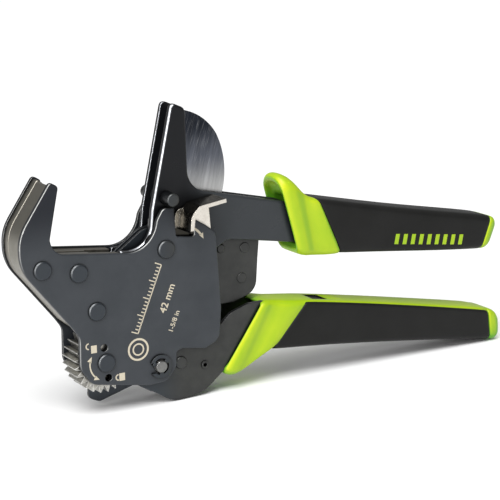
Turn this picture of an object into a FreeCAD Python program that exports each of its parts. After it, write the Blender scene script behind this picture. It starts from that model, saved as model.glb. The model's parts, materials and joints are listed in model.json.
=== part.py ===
import FreeCAD, Part
import math
import os

import Sketcher

Vector = FreeCAD.Vector

# Ratcheting cutter for plastic pipe, in millimetres.
# +X runs from the hook jaw to the grips, +Z is up and the tool's flat sides face -Y and +Y.
# Every outline is written as X, Z from the blade pivot; the row's origin is the axis of the
# largest pipe that the hook takes, so the whole tool is placed by pivot_x and pivot_z.

DIMENSIONS = {
    "pivot_x": 24.1,
    "pivot_z": -22.2,
    "stack_half": 9.0,
    "side_plate": 1.8,
    "arm_inner": 3.0,
    "arm_plate": 2.3,
    "blade_plate": 1.8,
    "sector_plate": 1.2,
    "pawl_width": 4.6,
    "seam_depth": 3.3,
    "seam_break": 0.35,
    "groove_width": 2.3,
    "sector_gap": 5.4,
    "channel_half": 6.85,
    "channel_wall": 1.5,
    "grip_half": 8.7,
    "core_half": 6.2,
    "pin_radius": 2.5,
    "head_radius": 3.6,
    "head_rise": 1.1,
    "run_fit": 0.05,
    "rest_fit": 0.02,
    "edge_break": 0.5,
    "tooth_radius": 28.9,
    "wheel_radius": 12.3,
    "wheel_front": 6.9,
    "wheel_back": 4.9,
    "detent_reach": 6.1,
    "detent_lean": 6.5,
    "ball_radius": 1.6,
    "lever_plate": 1.4,
    "lever_gap": 0.2,
    "lever_reach": 16.5,
    "stud_reach": 12.0,
}

HOOK_RIVETS = [(-51.5, -1.4), (-36.9, -4.4), (-30.1, -20.2)]
WHEEL_AT = (-27.0, -41.0)
HANDLE_AT = (-4.0, -46.1)
DRIVE_AT = (6.1, -46.9)
HOLD_AT = (-10.3, -35.0)
ROLL_AT = (16.7, -49.5)
STUD_AT = (2.4, 19.4)
POST_AT = (27.6, -4.6)
SECTOR_RIVETS = [(38.5, -5.6), (36.9, -17.9)]

doc = FreeCAD.newDocument("PipeCutter")
sheet = doc.addObject("Spreadsheet::Sheet", "Dims")
for row, (alias, value) in enumerate(DIMENSIONS.items(), start=1):
    sheet.set(f"A{row}", alias)
    sheet.set(f"B{row}", str(value))
    sheet.setAlias(f"B{row}", alias)
doc.recompute()

parts = []


def dim(alias):
    """The value that the sheet holds under an alias."""
    return float(getattr(sheet, alias))


def polar(radius, degrees):
    """A point X, Z on a circle about the blade pivot."""
    turn = math.radians(degrees)
    return (radius * math.cos(turn), radius * math.sin(turn))


# ---------------------------------------------------------------- outlines

def corner_arc(before, corner, after, radius):
    """The two tangent points and the middle of the arc that rounds a corner."""
    towards_before = (before - corner).normalize()
    towards_after = (after - corner).normalize()
    half = towards_before.getAngle(towards_after) / 2
    along = radius / math.tan(half)
    inward = (towards_before + towards_after).normalize()
    centre = corner + inward * (radius / math.sin(half))
    return corner + towards_before * along, centre - inward * radius, corner + towards_after * along


def outline(points):
    """Closed outline of straight runs; a third number rounds that corner to a radius."""
    corners = [Vector(point[0], point[1], 0) for point in points]
    count = len(points)
    starts, ends, arcs = [], [], []
    for index, point in enumerate(points):
        if len(point) == 2:
            first = last = corners[index]
        else:
            first, middle, last = corner_arc(
                corners[index - 1], corners[index], corners[(index + 1) % count], point[2])
            arcs.append(Part.Arc(first, middle, last))
        starts.append(first)
        ends.append(last)
    runs = []
    for index in range(count):
        following = starts[(index + 1) % count]
        if (following - ends[index]).Length > 1e-6:
            runs.append(Part.LineSegment(ends[index], following))
    return runs + arcs


def circle(centre, radius_cell, extra=0.0):
    """A round outline whose radius follows a cell."""
    return {"centre": centre, "cell": radius_cell, "extra": extra}


# ---------------------------------------------------------------- bodies

def place(item):
    """Put a sub-part at the tool's place in the row's frame."""
    item.setExpression("Placement.Base.x", "Dims.pivot_x")
    item.setExpression("Placement.Base.z", "Dims.pivot_z")


def new_body(label):
    body = doc.addObject("PartDesign::Body", label)
    body.Label = label
    place(body)
    parts.append(body)
    return body


def origin_plane(body, role):
    for feature in body.Origin.OriginFeatures:
        if feature.Role == role:
            return feature
    raise LookupError(role)


def new_sketch(body, name, role="XZ_Plane", height="0"):
    """A sketch on one of the body's own planes, lifted along the plane's normal."""
    sketch = body.newObject("Sketcher::SketchObject", f"{body.Name}_{name}")
    sketch.AttachmentSupport = [(origin_plane(body, role), "")]
    sketch.MapMode = "FlatFace"
    sketch.setExpression("AttachmentOffset.Base.z", height)
    return sketch


def draw(sketch, edges=(), circles=()):
    for edge in edges:
        sketch.addGeometry(edge, False)
    for item in circles:
        x, z = item["centre"]
        radius = dim(item["cell"]) + item["extra"]
        index = sketch.addGeometry(Part.Circle(Vector(x, z, 0), Vector(0, 0, 1), radius), False)
        number = sketch.addConstraint(Sketcher.Constraint("Radius", index, radius))
        sketch.setExpression(f"Constraints[{number}]", f"Dims.{item['cell']} + {item['extra']}")


def pad(body, name, edges, circles, far_y, thickness):
    """Material from far_y towards -Y by thickness; both are expressions."""
    sketch = new_sketch(body, f"{name}_outline", height=f"-({far_y})")
    draw(sketch, edges, circles)
    feature = body.newObject("PartDesign::Pad", f"{body.Name}_{name}")
    feature.Profile = sketch
    feature.setExpression("Length", thickness)
    body.Tip = feature
    return feature


def pocket(body, name, edges, circles, near_y, depth):
    """A cut from near_y towards +Y by depth; both are expressions."""
    sketch = new_sketch(body, f"{name}_outline", height=f"-({near_y})")
    draw(sketch, edges, circles)
    feature = body.newObject("PartDesign::Pocket", f"{body.Name}_{name}")
    feature.Profile = sketch
    feature.setExpression("Length", depth)
    body.Tip = feature
    return feature


def dress(body, name, kind, keep, size):
    """Round or break the edges that keep(edge) picks from the body's solid."""
    doc.recompute()
    base = body.Tip
    names = [f"Edge{n}" for n, edge in enumerate(base.Shape.Edges, start=1) if keep(edge)]
    feature = body.newObject(f"PartDesign::{kind}", f"{body.Name}_{name}")
    feature.Base = (base, names)
    feature.setExpression("Radius" if kind == "Fillet" else "Size", size)
    body.Tip = feature
    doc.recompute()
    return feature


def on_face(edge, y, slack=1e-4):
    return all(abs(vertex.Point.y - y) < slack for vertex in edge.Vertexes)


def slab(label, points, circles, far_y, thickness):
    """A flat plate with round holes."""
    body = new_body(label)
    pad(body, "plate", outline(points), circles, far_y, thickness)
    return body


def turned(label, at, profile):
    """A part of revolution about a Y axis through X, Z; profile is radius, Y pairs."""
    body = doc.addObject("PartDesign::Body", label)
    body.Label = label
    body.setExpression("Placement.Base.x", f"Dims.pivot_x + ({at[0]})")
    body.setExpression("Placement.Base.z", f"Dims.pivot_z + ({at[1]})")
    parts.append(body)
    sketch = new_sketch(body, "profile", role="XY_Plane")
    draw(sketch, outline(profile))
    feature = body.newObject("PartDesign::Revolution", f"{label}_turn")
    feature.Profile = sketch
    feature.ReferenceAxis = (sketch, ["V_Axis"])
    feature.Angle = 360
    body.Tip = feature
    return body


def gathered(label, solids):
    """One node that holds several loose solids."""
    node = doc.addObject("Part::Feature", label)
    node.Label = label
    node.Shape = Part.Compound(solids)
    place(node)
    parts.append(node)
    return node


def revolved(at, profile):
    """A loose solid of revolution about a Y axis, for a gathered node."""
    edges = [edge.toShape() for edge in outline(profile)]
    face = Part.Face(Part.Wire(Part.__sortEdges__(edges)))
    solid = face.revolve(Vector(0, 0, 0), Vector(0, 1, 0), 360)
    solid.translate(Vector(at[0], 0, at[1]))
    return solid


def coil(at, radius, wire, turns, pitch, low_y):
    """A wound spring about a Y axis."""
    helix = Part.makeHelix(pitch, pitch * turns, radius)
    start = helix.Edges[0].Vertexes[0].Point
    ring = Part.Wire(Part.Circle(start, Vector(0, 1, 0), wire / 2).toShape())
    solid = Part.Wire(helix.Edges).makePipeShell([ring], True, True)
    solid.rotate(Vector(0, 0, 0), Vector(1, 0, 0), -90)
    solid.translate(Vector(at[0], low_y, at[1]))
    return solid


def wire_loop(at, radius, wire, leg, middle_y):
    """An open wire loop about a Y axis with a straight leg at each end."""
    top = Vector(0, middle_y, radius)
    turn = math.radians(-30)
    low = Vector(radius * math.cos(turn), middle_y, radius * math.sin(turn))
    start = top + Vector(leg, 0, 0)
    end = low + Vector(-math.sin(turn), 0, math.cos(turn)) * leg
    path = Part.Wire([
        Part.makeLine(start, top),
        Part.Arc(top, Vector(-radius, middle_y, 0), low).toShape(),
        Part.makeLine(low, end),
    ])
    ring = Part.Wire(Part.Circle(start, Vector(1, 0, 0), wire / 2).toShape())
    solid = path.makePipeShell([ring], True, False)
    solid.translate(Vector(at[0], 0, at[1]))
    return solid


# ---------------------------------------------------------------- shared contours

HOOK_OUTSIDE = [
    (-46.9, 31.4, 1.5), (-60.2, 12.1, 17), (-60.2, -0.3, 17),
]
HOOK_INSIDE = [
    (-47.9, 9.6, 3), (-43.6, 29.4, 1.6),
]
THROAT_FLOOR = [(-6.5, -0.5, 12), (-46.6, 3.9, 6.5)]


def rivet_profile(half_length):
    """Half section of a headed pin with a soft crown, as radius, Y pairs."""
    rise = dim("head_rise")
    head = dim("head_radius")
    shank = dim("pin_radius") - dim("rest_fit")
    return [
        (0, -half_length - rise), (head - 0.5, -half_length - rise, 0.4),
        (head, -half_length - rise / 2, 0.3),
        (head, -half_length), (shank, -half_length), (shank, half_length), (head, half_length),
        (head, half_length + rise / 2, 0.3), (head - 0.5, half_length + rise, 0.4), (0, half_length + rise),
    ]


# ---------------------------------------------------------------- head frame

def side_plate(label, far_y, outer_y, has_marks):
    """One of the two outer plates: hook jaw, throat, lever slot and the pawl pin's notch."""
    points = HOOK_OUTSIDE + [
        (-40.4, -25.3, 4), (-37.5, -29.5, 5), (-37.8, -42.0, 6), (-33.0, -48.8, 5),
        (-9.0, -53.2, 4), (-1.2, -52.8, 5), (3.3, -47.4, 4.5), (3.3, -41.4, 1.4),
        (6.2, -40.6, 1), (16.2, -42.2, 1), (22.6, -39.5, 5), (23.7, -27.0, 8), (22.0, 4.0, 3.5),
        (17.6, 7.4, 3), (12.9, 10.3, 0.8), (12.4, 3.6, 1), (4.6, 4.4, 1),
        (4.0, 15.9, 0.6), (-0.8, 16.0, 2.5), (-3.4, 11.8, 4),
    ] + THROAT_FLOOR + HOOK_INSIDE
    holes = [circle(at, "pin_radius") for at in HOOK_RIVETS]
    holes.append(circle((0, 0), "pin_radius"))
    holes.append(circle(WHEEL_AT, "pin_radius"))
    holes.append(circle(HANDLE_AT, "pin_radius"))
    if has_marks:
        for side in (1, -1):
            holes.append(circle(detent_point(side), "pin_radius", -1.0))
    body = slab(label, points, holes, far_y, "Dims.side_plate")
    blind_y = "Dims.side_plate - Dims.stack_half - 1" if has_marks else "Dims.stack_half - Dims.side_plate"
    pocket(body, "pawl_pin_seat", [], [circle(HOLD_AT, "pin_radius", -1.0)], blind_y, "1")
    dress(body, "edge", "Fillet", lambda edge: on_face(edge, outer_y) and not is_circle(edge),
          "Dims.edge_break")
    return body


def detent_point(side):
    """Where the lock wheel's ball stands: side 1 when unlocked, -1 when locked."""
    lean = math.radians(dim("detent_lean"))
    reach = side * dim("detent_reach")
    return (WHEEL_AT[0] - reach * math.sin(lean), WHEEL_AT[1] + reach * math.cos(lean))


def is_circle(edge):
    return len(edge.Vertexes) == 1


def break_seam(body):
    """Bevel the edges that meet at the seam between the two spacer layers."""
    seam = dim("seam_depth")
    dress(body, "seam", "Chamfer", lambda edge: on_face(edge, seam) and not is_circle(edge),
          "Dims.seam_break")


def hook_spacers():
    """Two layers that fill the hook between the side plates, with the blade's groove."""
    layers = []
    for drop in (0.4, 0.0):
        layers.append(outline([
            (-46.7 - drop * 0.6, 30.6 - drop, 0.9 + drop / 2), (-59.6, 12.0, 16.4), (-59.6, -0.2, 16.4),
            (-40.0, -24.7, 3), (-35.5, -28.6, 2), (-25.5, -25.5, 3), (-18.6, 0.3),
            (-47.1, 3.3, 6.5), (-48.4, 9.6, 3), (-44.2 - drop * 0.3, 28.7 - drop, 1.1 + drop / 2),
        ]))
    holes = [circle(at, "pin_radius") for at in HOOK_RIVETS]
    inner = "Dims.stack_half - Dims.side_plate"
    body = new_body("hook_spacer")
    pad(body, "plate", layers[0], holes, "Dims.seam_depth", f"{inner} + Dims.seam_depth")
    break_seam(body)
    reach = polar(53.8, 183.5)
    groove = [
        Part.Arc(Vector(*polar(53.8, 134), 0), Vector(*polar(53.8, 160), 0), Vector(*reach, 0)),
        Part.LineSegment(Vector(*reach, 0), Vector(-14, -6, 0)),
        Part.LineSegment(Vector(-14, -6, 0), Vector(*polar(53.8, 134), 0)),
    ]
    pocket(body, "blade_groove", groove, [], "-Dims.groove_width / 2", "Dims.groove_width")
    pocket(body, "sector_clearance", [], [circle((0, 0), "tooth_radius", 0.8)],
           "-Dims.sector_gap / 2", "Dims.sector_gap")
    back = new_body("hook_spacer_back")
    pad(back, "plate", layers[1], holes, inner, f"{inner} - Dims.seam_depth")
    break_seam(back)


def handle_plate(label, far_y, outer_y):
    """An L-shaped plate: the blade guard above and the upper handle's arm to the right."""
    points = [
        (5.9, 55.9, 1.8), (12.0, 53.2, 2.8), (12.4, 21.5, 9.5),
        (56.0, 11.6, 10), (62.0, 9.0, 6), (128.0, -4.6, 2), (128.0, -12.8, 2), (62.0, -6.1, 20),
        (40.0, -2.4), (29.5, -0.7, 3), (14.0, -9.4, 9), (-8.5, -9.4, 9), (-17.9, -1.5, 1),
        (-17.4, 0.7, 0.3), (-5.2, 0.5, 9.5), (-3.6, 15.0, 10),
    ]
    holes = [circle((0, 0), "pin_radius"), circle(STUD_AT, "pin_radius")]
    body = slab(label, points, holes, far_y, "Dims.arm_plate")
    dress(body, "edge", "Fillet", lambda edge: on_face(edge, outer_y) and not is_circle(edge),
          "Dims.edge_break * 2")
    return body


def frame_plates():
    half = dim("stack_half")
    side_plate("front_side_plate", "-Dims.stack_half + Dims.side_plate", -half, True)
    side_plate("back_side_plate", "Dims.stack_half", half, False)
    arm_outer = dim("arm_inner") + dim("arm_plate")
    handle_plate("front_handle_plate", "-Dims.arm_inner", -arm_outer)
    handle_plate("back_handle_plate", "Dims.arm_inner + Dims.arm_plate", arm_outer)
    slab("handle_plate_spacer", [(58, 8, 2), (126, -5.2, 2), (126, -12.0, 2), (58, -4.6, 2)], [],
         "Dims.arm_inner", "2 * Dims.arm_inner")


def frame_pins():
    half = dim("stack_half")
    inner = half - dim("side_plate")
    gathered("frame_rivets", [revolved(at, rivet_profile(half)) for at in HOOK_RIVETS])
    turned("blade_pivot_pin", (0, 0), rivet_profile(half))
    turned("lock_wheel_pin", WHEEL_AT, rivet_profile(half))
    shank = dim("pin_radius") - dim("run_fit")
    neck = shank - 0.6
    turned("handle_pivot_pin", HANDLE_AT, [
        (0, -half - 1.6), (shank - 0.3, -half - 1.6, 0.3), (shank, -half - 1.1), (shank, -half - 0.9),
        (neck, -half - 0.9), (neck, -half - 0.1), (shank, -half - 0.1), (shank, half + 0.1),
        (neck, half + 0.1), (neck, half + 0.9), (shank, half + 0.9), (shank, half + 1.1),
        (shank - 0.3, half + 1.6, 0.3), (0, half + 1.6),
    ])
    seat = dim("pin_radius") - 1.0 - dim("rest_fit")
    turned("holding_pawl_pin", HOLD_AT, [(0, -inner - 0.95), (seat, -inner - 0.95), (seat, inner + 0.95),
                                         (0, inner + 0.95)])
    stud = dim("pin_radius") - dim("rest_fit")
    reach = dim("stud_reach")
    low = dim("arm_inner") + 0.1
    outward = [
        (0, low), (stud, low), (stud, reach - 5.5), (stud + 0.1, reach - 5.5), (stud + 0.1, reach, 0.7),
               (0, reach)]
    inward = [(radius[0], -radius[1], *radius[2:]) for radius in outward]
    gathered("stop_studs", [revolved(STUD_AT, outward), revolved(STUD_AT, inward)])


def e_clips():
    """Open retaining rings in the grooves at both ends of the handle pivot pin."""
    clips = []
    outer, inner, lip = 4.7, 3.3, 1.95
    for low in (-dim("stack_half") - 0.85, dim("stack_half") + 0.15):
        ring = Part.makeCylinder(outer, 0.7, Vector(0, low, 0), Vector(0, 1, 0))
        ring = ring.cut(Part.makeCylinder(inner, 0.7, Vector(0, low, 0), Vector(0, 1, 0)))
        mouth = Part.makeBox(6, 0.7, 4.2, Vector(-7.2, low, -2.4))
        ring = ring.cut(mouth)
        for angle in (35, 155, 275):
            prong = Part.makeBox(inner + 0.4 - lip, 0.7, 1.6, Vector(lip, low, -0.8))
            prong.rotate(Vector(0, 0, 0), Vector(0, -1, 0), angle)
            ring = ring.fuse(prong)
        ring = ring.removeSplitter()
        ring.translate(Vector(HANDLE_AT[0], 0, HANDLE_AT[1]))
        clips.append(ring.Solids[0])
    gathered("e_clips", clips)


# ---------------------------------------------------------------- upper grip

UPPER_TOP = [(108.7, 3.1, 200), (158.2, -6.6, 3)]


def grip_block(label, points, half_cell, round_size, keep_x=None):
    body = slab(label, points, [], f"Dims.{half_cell}", f"2 * Dims.{half_cell}")
    half = dim(half_cell)
    if round_size:
        dress(body, "round", "Fillet",
              lambda edge: (on_face(edge, -half) or on_face(edge, half))
              and (keep_x is None or keep_x(edge)), str(round_size))
    return body


def arm_socket(body, start_x, end_x):
    """The slot that holds the two handle plates and their spacer."""
    top_start = 9.3 - (start_x - 62) * 0.206 if start_x > 60 else 12.6
    low_start = -6.3 - (start_x - 62) * 0.1015 if start_x > 60 else -6.0
    top_end = 9.3 - (end_x - 62) * 0.206
    low_end = -6.3 - (end_x - 62) * 0.1015
    points = [(start_x, top_start), (end_x, top_end), (end_x, low_end), (start_x, low_start)]
    pocket(body, f"socket_{int(start_x)}", outline(points), [],
           "-Dims.arm_inner - Dims.arm_plate - Dims.run_fit",
           "2 * (Dims.arm_inner + Dims.arm_plate + Dims.run_fit)")


def upper_grip():
    collar = grip_block("upper_grip_collar", [
        (48.4, 18.6, 2), (50.6, 22.6, 2.5), (56.6, 22.4, 3), (64.8, 14.2, 6), (69.0, 11.7),
        (80.2, -12.3), (64.0, -11.7, 6), (52.0, -5.0, 1.5)], "grip_half", 2.2,
        keep_x=lambda edge: edge.CenterOfMass.x < 68 and edge.CenterOfMass.x > 49)
    mouth = [(40, 13.4), (57.2, 13.4, 1), (61.6, -7.6, 1), (40, -7.6)]
    pocket(collar, "mouth", outline(mouth), [], "-Dims.core_half - 0.6", "2 * Dims.core_half + 1.2")
    arm_socket(collar, 55.5, 84.0)
    sleeve = grip_block("upper_grip_sleeve", [
        (69.0, 11.7), (108.7, 3.2), (132.0, -1.2), (157.0, -6.0), (157.2, -9.8, 2),
        (152.0, -20.3), (124.7, -17.2), (104.8, -14.9), (80.2, -12.3)], "grip_half", 2.2,
        keep_x=lambda edge: edge.CenterOfMass.x > 85 and edge.CenterOfMass.x < 152)
    arm_socket(sleeve, 66.0, 128.2)
    grip_block("upper_grip_end_cap", [
        (157.0, -6.0), (161.4, -7.6, 2.2), (161.0, -11.5, 2), (156.2, -20.4, 2.4), (152.0, -20.3),
        (157.2, -9.8, 2)], "grip_half", 0)


# ---------------------------------------------------------------- blade and ratchet

def blade():
    """The ground blade; its edge lies inside the guard and its back is a long curve."""
    heel, tip = Vector(-1.9, 13.6, 0), Vector(8.0, 52.4, 0)
    shoulder = Vector(27.5, 41.4, 0)
    back_low = Vector(29.4, 17.2, 0)
    tail_top = Vector(*polar(32.9, 25), 0)
    tail_low = Vector(*polar(32.9, -40), 0)
    edges = [
        Part.LineSegment(heel, tip),
        Part.Arc(tip, Vector(18.0, 50.2, 0), shoulder),
        Part.Arc(shoulder, Vector(30.7, 30.3, 0), back_low),
        Part.LineSegment(back_low, tail_top),
        Part.Arc(tail_top, Vector(*polar(32.9, -8), 0), tail_low),
        Part.LineSegment(tail_low, Vector(2, -9.5, 0)),
        Part.Arc(Vector(2, -9.5, 0), Vector(*polar(9.7, 190), 0), heel + Vector(-1.0, -7.0, 0)),
        Part.LineSegment(heel + Vector(-1.0, -7.0, 0), heel),
    ]
    body = new_body("blade")
    holes = [circle((0, 0), "pin_radius"), circle(POST_AT, "pin_radius", -0.7)]
    pad(body, "plate", edges, holes, "Dims.blade_plate / 2", "Dims.blade_plate")
    for name, low, high in (("front_bevel", -1.1, -0.12), ("back_bevel", 0.12, 1.1)):
        bevel_cut(body, name, heel, tip, low, high)


def bevel_cut(body, name, heel, tip, low, high):
    """Grind one side of the edge back to a thin line."""
    doc.recompute()
    along = (tip - heel).normalize()
    across = Vector(along.y, -along.x, 0)
    width = 5.0
    sketch = body.newObject("Sketcher::SketchObject", f"{body.Name}_{name}_outline")
    sketch.Placement = FreeCAD.Placement(
        Vector(heel.x, 0, heel.y) - Vector(along.x, 0, along.y) * 3,
        FreeCAD.Rotation(Vector(across.x, 0, across.y), Vector(0, 1, 0), Vector(along.x, 0, along.y), "ZXY"))
    outside, thin = (low, high) if low < 0 else (high, low)
    draw(sketch, outline([(-1.0, thin), (0.0, thin), (width, math.copysign(0.9, thin)), (width, outside),
                          (-1.0, outside)]))
    feature = body.newObject("PartDesign::Pocket", f"{body.Name}_{name}")
    feature.Profile = sketch
    feature.Type = 0
    feature.Reversed = True
    feature.Length = (tip - heel).Length + 6
    body.Tip = feature


def ratchet_teeth():
    """Saw teeth whose steep faces look clockwise, from the drive pawl round to the hook."""
    tip, root, pitch = dim("tooth_radius"), dim("tooth_radius") - 2.0, 6.0
    points = []
    for index in range(19):
        angle = -164.0 + index * pitch
        points.append(polar(tip, angle))
        points.append(polar(root, angle + pitch))
    return points


def ratchet_sector(label, far_y):
    points = [
        (44.2, 4.0, 2), (45.1, -4.0), (44.4, -11.0), (43.4, -24.2, 6.5), (33.5, -27.2, 3), (27.0, -27.3, 2),
        (21.6, -20.6, 1.5),
    ]
    points += list(reversed(ratchet_teeth()))
    points += [polar(27.0, -166), (-7.0, 7.0, 6), (6.0, 10.2, 6), (30.0, 7.0, 4)]
    holes = [circle((0, 0), "pin_radius"), circle(POST_AT, "pin_radius", -0.7)]
    holes += [circle(at, "pin_radius", -0.9) for at in SECTOR_RIVETS]
    return slab(label, points, holes, far_y, "Dims.sector_plate")


def sector_parts():
    ratchet_sector("front_ratchet_sector", "-Dims.blade_plate / 2")
    ratchet_sector("back_ratchet_sector", "Dims.blade_plate / 2 + Dims.sector_plate")
    outer = dim("blade_plate") / 2 + dim("sector_plate")
    shank = dim("pin_radius") - 0.9 - dim("rest_fit")
    rivet = [(0, -outer - 0.4), (2.0, -outer - 0.4, 0.2), (2.1, -outer), (shank, -outer), (shank, outer),
             (2.1, outer), (2.0, outer + 0.4, 0.2), (0, outer + 0.4)]
    gathered("sector_rivets", [revolved(at, rivet) for at in SECTOR_RIVETS])
    inner = dim("blade_plate") / 2
    filler = Part.makeCylinder(5.0, 2 * inner, Vector(0, -inner, 0), Vector(0, 1, 0))
    filler = filler.cut(Part.makeCylinder(shank + 0.05, 2 * inner, Vector(0, -inner, 0), Vector(0, 1, 0)))
    rings = []
    for x, z in SECTOR_RIVETS:
        ring = filler.copy()
        ring.translate(Vector(x, 0, z))
        rings.append(ring)
    gathered("sector_spacers", rings)
    post = dim("pin_radius") - 0.7 - dim("rest_fit")
    turned("spring_post", POST_AT, [(0, -outer - 0.7), (post - 0.3, -outer - 0.7), (post, -outer - 0.4),
                                    (post, outer + 0.4), (post - 0.3, outer + 0.7), (0, outer + 0.7)])


def pawl(label, pivot, tip_radius, tip_angle, boss, hole_extra):
    """A strut from its pin to a tip that stands just off the tooth circle."""
    tip_x, tip_z = polar(tip_radius, tip_angle)
    foot = Vector(pivot[0], pivot[1], 0)
    nose = Vector(tip_x, tip_z, 0)
    along = (nose - foot).normalize()
    across = Vector(-along.y, along.x, 0)
    shoulder = nose - along * 5
    points = []
    for point in (foot - along * boss + across * boss, shoulder + across * 1.5, nose + across * 0.3,
                  nose - across * 0.9, shoulder - across * 2.6, foot - along * boss - across * boss):
        points.append((point.x, point.y))
    points[0] = (*points[0], boss * 0.9)
    points[-1] = (*points[-1], boss * 0.9)
    return slab(label, points, [circle(pivot, "pin_radius", hole_extra)],
                "Dims.pawl_width / 2", "Dims.pawl_width")


def pawls():
    pawl("drive_pawl", DRIVE_AT, 29.4, -51.0, 3.6, -0.5 + dim("run_fit"))
    pawl("holding_pawl", HOLD_AT, 29.4, -81.0, 3.2, -1.0 + dim("run_fit"))
    beside = dim("pawl_width") / 2 + 0.8
    for label, at, radius in (("drive_pawl_spring", DRIVE_AT, 3.0), ("holding_pawl_spring", HOLD_AT, 2.3)):
        gathered(label, [wire_loop(at, radius, 0.6, 3.0, beside)])


# ---------------------------------------------------------------- release lever

def release_lever():
    """A nickel-plated lever: a flat base on the blade pivot and a thumb tab bent outwards."""
    body = new_body("release_lever")
    inner = "Dims.arm_inner + Dims.arm_plate + Dims.lever_gap"
    base = [(20.2, 14.2, 1.2), (21.0, 3.0, 3), (8.0, -8.0, 7), (-8.0, -8.0, 7), (-8.2, 6.0, 7),
            (4.9, 8.4, 1.5), (5.8, 14.9, 3)]
    pad(body, "base", outline(base), [circle((0, 0), "pin_radius", dim("run_fit"))],
        f"-({inner})", "Dims.lever_plate")
    thick = 1.5
    tab = [(8.4, 6.6), (9.2, 12.8, 2.4), (12.0, 15.4, 2.4), (22.9, 17.0),
           (22.7, 17.0 + thick), (11.2, 15.4 + thick, 3.6), (7.6, 13.4, 4), (8.4 - thick, 6.7)]
    pad(body, "tab", outline(tab), [], f"-({inner})", f"Dims.lever_reach - ({inner})")


# ---------------------------------------------------------------- lock wheel

def lock_wheel():
    """Thumb wheel: coarse teeth on the exposed side and a relieved round on the other."""
    tip, root, relief = dim("wheel_radius"), dim("wheel_radius") - 2.6, 8.2
    points = []
    for index in range(14):
        angle = math.radians(96 + index * 15)
        for turn, radius in ((-6.8, root), (-0.8, tip), (0.8, tip), (6.8, root)):
            at = angle + math.radians(turn)
            points.append((WHEEL_AT[0] + radius * math.cos(at), WHEEL_AT[1] + radius * math.sin(at)))
    for degrees in (320, 350, 20, 50, 75):
        at = math.radians(degrees)
        points.append((WHEEL_AT[0] + relief * math.cos(at), WHEEL_AT[1] + relief * math.sin(at)))
    body = new_body("lock_wheel")
    pad(body, "disc", outline(points), [circle(WHEEL_AT, "pin_radius", dim("run_fit"))],
        "Dims.wheel_back", "Dims.wheel_front + Dims.wheel_back")
    ball_at = detent_point(-1)
    pocket(body, "detent_bore", [], [circle(ball_at, "ball_radius", 0.05)], "-Dims.wheel_front - 0.1", "8")
    centre = -dim("wheel_front") - 0.1 + dim("ball_radius")
    ball = Part.makeSphere(dim("ball_radius"), Vector(ball_at[0], centre, ball_at[1]))
    gathered("detent_ball", [ball])
    gathered("detent_spring", [coil(ball_at, 1.25, 0.6, 3, 1.0, centre + dim("ball_radius") + 0.3)])


# ---------------------------------------------------------------- lower handle

HANDLE_BOTTOM = [(27.0, -52.0, 6), (16.5, -60.4, 12), (3.0, -62.5, 9), (-7.2, -56.2, 2)]


def lower_handle_channel():
    """A folded channel, open upwards, with a tail on the back wall that passes the lock wheel."""
    body = new_body("lower_handle_channel")
    walls = [
        (-24.0, -60.9, 3.2), (-28.6, -58.8, 2.5), (-28.2, -53.4, 2), (-14.0, -51.6, 3),
        (-12.0, -41.0, 6), (2.0, -37.6, 5), (12.0, -40.5, 4), (24.4, -34.2, 3), (29.0, -30.2, 4),
        (37.0, -27.6, 6), (44.0, -27.4, 3), (72.0, -33.4, 2), (72.0, -46.8, 2), (40.0, -45.4, 20),
    ] + HANDLE_BOTTOM
    holes = [circle(HANDLE_AT, "pin_radius"), circle(DRIVE_AT, "pin_radius"),
             circle(ROLL_AT, "pin_radius", -0.9)]
    pad(body, "walls", outline(walls), holes, "Dims.channel_half", "2 * Dims.channel_half")
    inner_y = "-Dims.channel_half + Dims.channel_wall"
    inner_depth = "2 * (Dims.channel_half - Dims.channel_wall)"
    hollow = [
        (-40.0, -62.0), (-40.0, -20.0), (90.0, -20.0), (90.0, -45.0), (40.0, -43.8, 20),
        (26.2, -50.4, 6), (15.9, -58.8, 11), (3.2, -60.9, 8), (-7.4, -54.6, 2), (-14.0, -56.0),
        (-14.0, -62.0),
    ]
    pocket(body, "hollow", outline(hollow), [], inner_y, inner_depth)
    short = [(-40.0, -66.0), (-40.0, -36.0), (-13.6, -36.0), (-13.6, -52.6), (-6.4, -57.0), (-6.4, -66.0)]
    pocket(body, "front_wall_end", outline(short), [], "-Dims.channel_half - 1",
           "2 * Dims.channel_half + 1 - Dims.channel_wall")


def lower_grip():
    shell_points = [
        (43.2, -27.3, 1), (62.0, -29.9), (108.0, -38.0), (157.0, -47.3), (157.0, -49.2), (108.0, -39.9),
        (62.6, -31.8), (46.2, -47.9), (43.6, -48.9, 3), (36.0, -55.2, 6), (28.0, -55.6, 3),
        (25.2, -52.6, 1), (33.0, -43.8), (41.6, -30.6, 4)]
    shell = grip_block("lower_grip_shell", shell_points, "grip_half", 0)
    channel_socket(shell, 24.0)
    lanyard = [(68.0, -29.0), (77.4, -30.0), (77.4, -40.0), (68.0, -40.0)]
    pocket(shell, "lanyard_slot", outline(lanyard), [], "-1.8", "3.6")
    cover_points = [
        (62.6, -31.8), (108.0, -39.9), (157.0, -49.2), (158.4, -61.9), (140.0, -58.6), (125.0, -56.3),
        (104.8, -53.7), (67.0, -49.3), (46.2, -47.9)]
    cover = grip_block("lower_grip_cover", cover_points, "grip_half", 2.0,
                       keep_x=lambda edge: edge.CenterOfMass.x > 64 and edge.CenterOfMass.x < 157
                       and edge.CenterOfMass.z < -49.0 - 0.08 * (edge.CenterOfMass.x - 67))
    channel_socket(cover, 44.0)
    pocket(cover, "lanyard_slot", outline(lanyard), [], "-1.8", "3.6")
    grip_block("lower_grip_end_cap", [
        (157.0, -47.3), (160.4, -48.4, 2.2), (163.0, -51.5, 3), (163.0, -60.0, 3), (160.0, -62.0, 2),
        (158.4, -61.9), (157.0, -49.2)], "grip_half", 0)


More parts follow.
